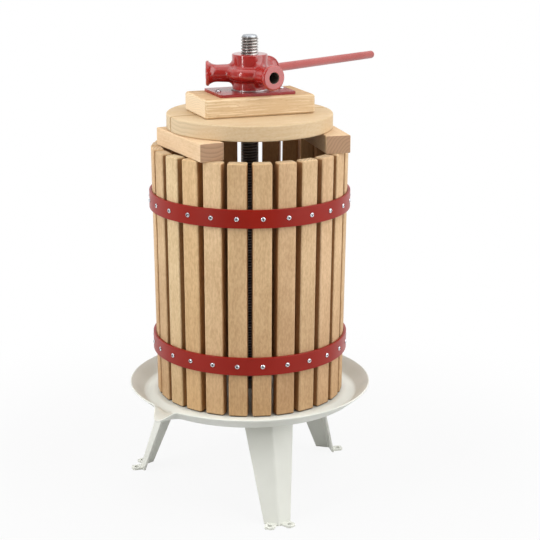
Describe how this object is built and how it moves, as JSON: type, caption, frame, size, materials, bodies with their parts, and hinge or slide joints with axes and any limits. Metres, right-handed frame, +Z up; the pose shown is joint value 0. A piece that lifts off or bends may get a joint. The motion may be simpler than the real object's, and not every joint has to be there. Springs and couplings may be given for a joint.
{
  "type": "fruit press",
  "caption": "Hand fruit press: slatted wooden basket in steel hoops on a legged juice pan with pouring lip, fixed screw spindle and a cast nut turned by a lever bar.",
  "frame": {"origin": "on the spindle's axis at floor level, at the centre of the circle through the foot holes", "axes": "+Z up along the spindle; -Y is the front, and the pouring lip points to the left front, 132.6 degrees clockwise from +X"},
  "size_m": [0.3876, 0.5807, 0.664],
  "materials": {
    "cream_enamel": "satin cream enamel on pressed sheet steel",
    "red_enamel": "semi-gloss red enamel on steel",
    "red_casting": "gloss red enamel on an as-cast surface",
    "bright_steel": "plain turned steel",
    "zinc_plate": "bright zinc plate",
    "slat_wood": "planed hardwood, unvarnished",
    "pressing_wood": "planed hardwood, unvarnished"
  },
  "bodies": {
    "base": {"pan": "cream_enamel", "front_leg": "cream_enamel", "left_leg": "cream_enamel", "right_leg": "cream_enamel", "spindle": "bright_steel", "spindle_upper_nut": "bright_steel", "spindle_lower_nut": "bright_steel", "spindle_washer": "bright_steel"},
    "basket": {"slat_01": "slat_wood", "slat_02": "slat_wood", "slat_03": "slat_wood", "slat_04": "slat_wood", "slat_05": "slat_wood", "slat_06": "slat_wood", "slat_07": "slat_wood", "slat_08": "slat_wood", "slat_09": "slat_wood", "slat_10": "slat_wood", "slat_11": "slat_wood", "slat_12": "slat_wood", "slat_13": "slat_wood", "slat_14": "slat_wood", "slat_15": "slat_wood", "slat_16": "slat_wood", "slat_17": "slat_wood", "slat_18": "slat_wood", "slat_19": "slat_wood", "slat_20": "slat_wood", "slat_21": "slat_wood", "slat_22": "slat_wood", "slat_23": "slat_wood", "slat_24": "slat_wood", "slat_25": "slat_wood", "upper_hoop": "red_enamel", "lower_hoop": "red_enamel", "upper_hoop_screws": "zinc_plate", "lower_hoop_screws": "zinc_plate"},
    "left_beam": {"left_beam": "pressing_wood"},
    "right_beam": {"right_beam": "pressing_wood"},
    "disc": {"front_half_disc": "pressing_wood", "rear_half_disc": "pressing_wood"},
    "block": {"top_block": "pressing_wood", "pressure_plate": "red_enamel", "plate_screws": "zinc_plate"},
    "nut_carriage": {"thrust_ring": "bright_steel"},
    "nut": {"press_nut": "red_casting"},
    "lever": {"lever_bar": "red_enamel"}
  },
  "joints": [
    {"name": "basket_lift", "type": "slide", "parent": "base", "child": "basket", "axis": [0, 0, 1], "range_m": [0, 0.52]},
    {"name": "left_beam_slide", "type": "slide", "parent": "basket", "child": "left_beam", "axis": [-0.8942, -0.4478, 0], "range_m": [0, 0.07]},
    {"name": "right_beam_slide", "type": "slide", "parent": "basket", "child": "right_beam", "axis": [0.9703, 0.2419, 0], "range_m": [0, 0.07]},
    {"name": "disc_lift", "type": "slide", "parent": "basket", "child": "disc", "axis": [0, 0, 1], "range_m": [0, 0.135]},
    {"name": "block_lift", "type": "slide", "parent": "disc", "child": "block", "axis": [0, 0, 1], "range_m": [0, 0.11]},
    {"name": "nut_rise", "type": "slide", "parent": "block", "child": "nut_carriage", "axis": [0, 0, 1], "range_m": [0, 0.064]},
    {"name": "nut_turn", "type": "hinge", "parent": "nut_carriage", "child": "nut", "pos_m": [0, 0, 0.58917], "axis": [0, 0, 1], "range_deg": [0, 5760]},
    {"name": "lever_slide", "type": "slide", "parent": "nut", "child": "lever", "axis": [0.4532, 0.8894, -0.0603], "range_m": [0, 0.05]}
  ],
  "couplings": [
    {"joint": "nut_rise", "follows": "nut_turn", "m_per_rad": 0.0006366}
  ]
}
